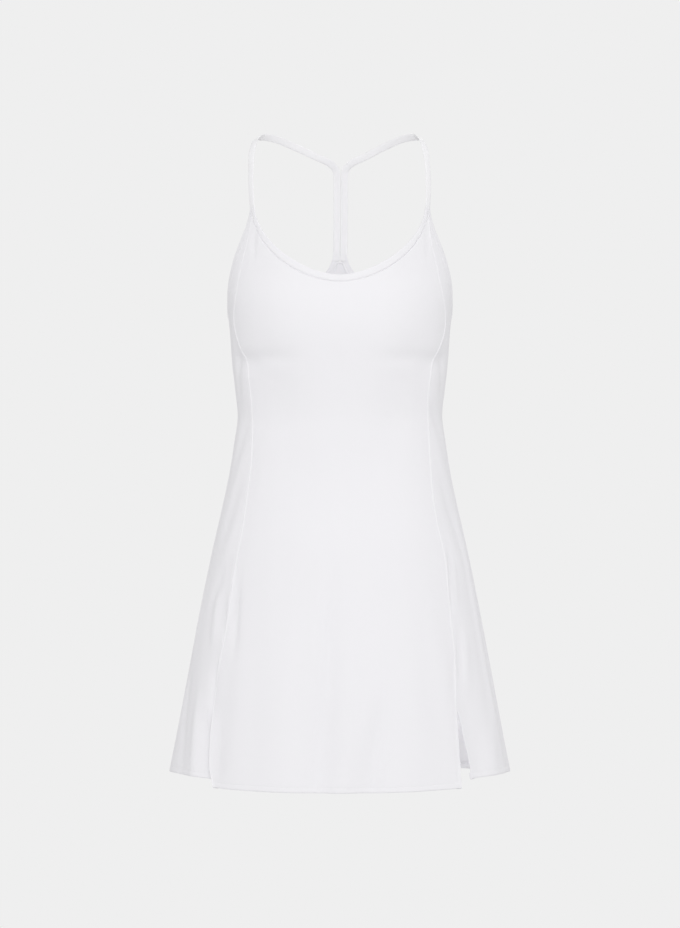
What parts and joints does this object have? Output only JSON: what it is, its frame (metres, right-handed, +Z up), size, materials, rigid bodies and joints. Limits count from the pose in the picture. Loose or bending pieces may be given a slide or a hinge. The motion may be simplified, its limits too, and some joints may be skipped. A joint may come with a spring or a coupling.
{
  "type": "tennis dress",
  "caption": "Sleeveless princess-seamed tennis dress with a bound scoop neck, narrow racerback straps and an A-line skirt slit at the hem, in its worn hollow form.",
  "frame": {"origin": "underside of the shoulder straps on top of the shoulders, midway between the two straps, where the wearer holds the dress up", "axes": "+Z up the body, -Y towards the front of the dress, -X towards the side at the left of a front view"},
  "size_m": [0.4259, 0.3152, 0.8089],
  "materials": {
    "jersey": "smooth matte white knit",
    "elastic": "white woven elastic tape with a faint sheen"
  },
  "bodies": {
    "root": {"front_panel": "jersey", "back_panel": "jersey", "side_panel_left": "jersey", "side_panel_right": "jersey", "neck_binding": "jersey", "armhole_binding_left": "jersey", "armhole_binding_right": "jersey", "strap_left": "elastic", "strap_right": "elastic"}
  },
  "joints": []
}
